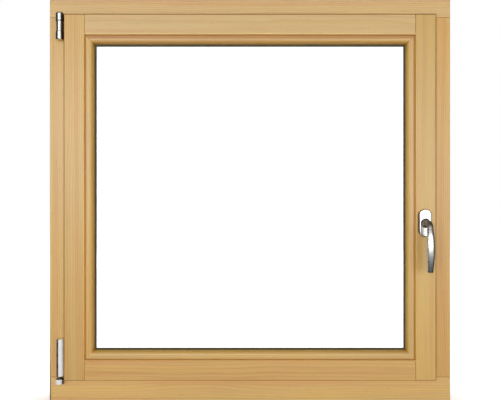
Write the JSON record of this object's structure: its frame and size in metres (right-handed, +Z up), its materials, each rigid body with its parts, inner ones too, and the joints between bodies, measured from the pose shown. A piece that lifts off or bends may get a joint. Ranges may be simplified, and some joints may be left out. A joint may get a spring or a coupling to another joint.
{
  "type": "tilt and turn window",
  "caption": "Square timber tilt and turn window with a moulded glazing bead, double glazing, silver hinges on the left and a lever handle on the right.",
  "frame": {"origin": "middle of the frame's underside, halfway through the frame's depth", "axes": "+Z up, +Y towards the weather side (the room side faces -Y), +X to the right seen from the room"},
  "size_m": [1, 0.146, 1],
  "materials": {
    "pine": "clear satin lacquer",
    "glass": "clear float glass",
    "seal": "matt",
    "spacer": "mill",
    "block_plastic": "matt",
    "rail_aluminium": "silver anodised",
    "cap_plastic": "matt",
    "silver_metal": "polished silver anodised",
    "steel": "zinc plated",
    "base_plastic": "matt"
  },
  "bodies": {
    "window": {"frame_head": "pine", "frame_sill": "pine", "frame_left_jamb": "pine", "frame_right_jamb": "pine", "sash_left_stile": "pine", "sash_right_stile": "pine", "sash_top_rail": "pine", "sash_bottom_rail": "pine", "bead_top": "pine", "bead_bottom": "pine", "bead_left": "pine", "bead_right": "pine", "glass_room_pane": "glass", "glass_weather_pane": "glass", "glass_edge_seal": "seal", "glazing_seal_room": "seal", "glazing_seal_weather": "seal", "rebate_gasket": "seal", "lip_gasket": "seal", "glass_spacer": "spacer", "setting_blocks": "block_plastic", "rain_rail": "rail_aluminium", "rain_rail_end_caps": "cap_plastic", "top_hinge_bracket": "silver_metal", "top_hinge_arm": "silver_metal", "bottom_hinge_bearing": "silver_metal", "bottom_hinge_band": "silver_metal", "bottom_hinge_cover": "silver_metal", "top_hinge_pin": "steel", "bottom_hinge_pin": "steel", "handle_base": "base_plastic", "handle_rosette": "silver_metal"},
    "handle": {"handle_lever": "silver_metal", "handle_spindle": "steel"}
  },
  "joints": [
    {"name": "handle_turn", "type": "hinge", "parent": "window", "child": "handle", "pos_m": [0.4302, -0.08, 0.4434], "axis": [0, 1, 0], "range_deg": [0, 180]}
  ]
}
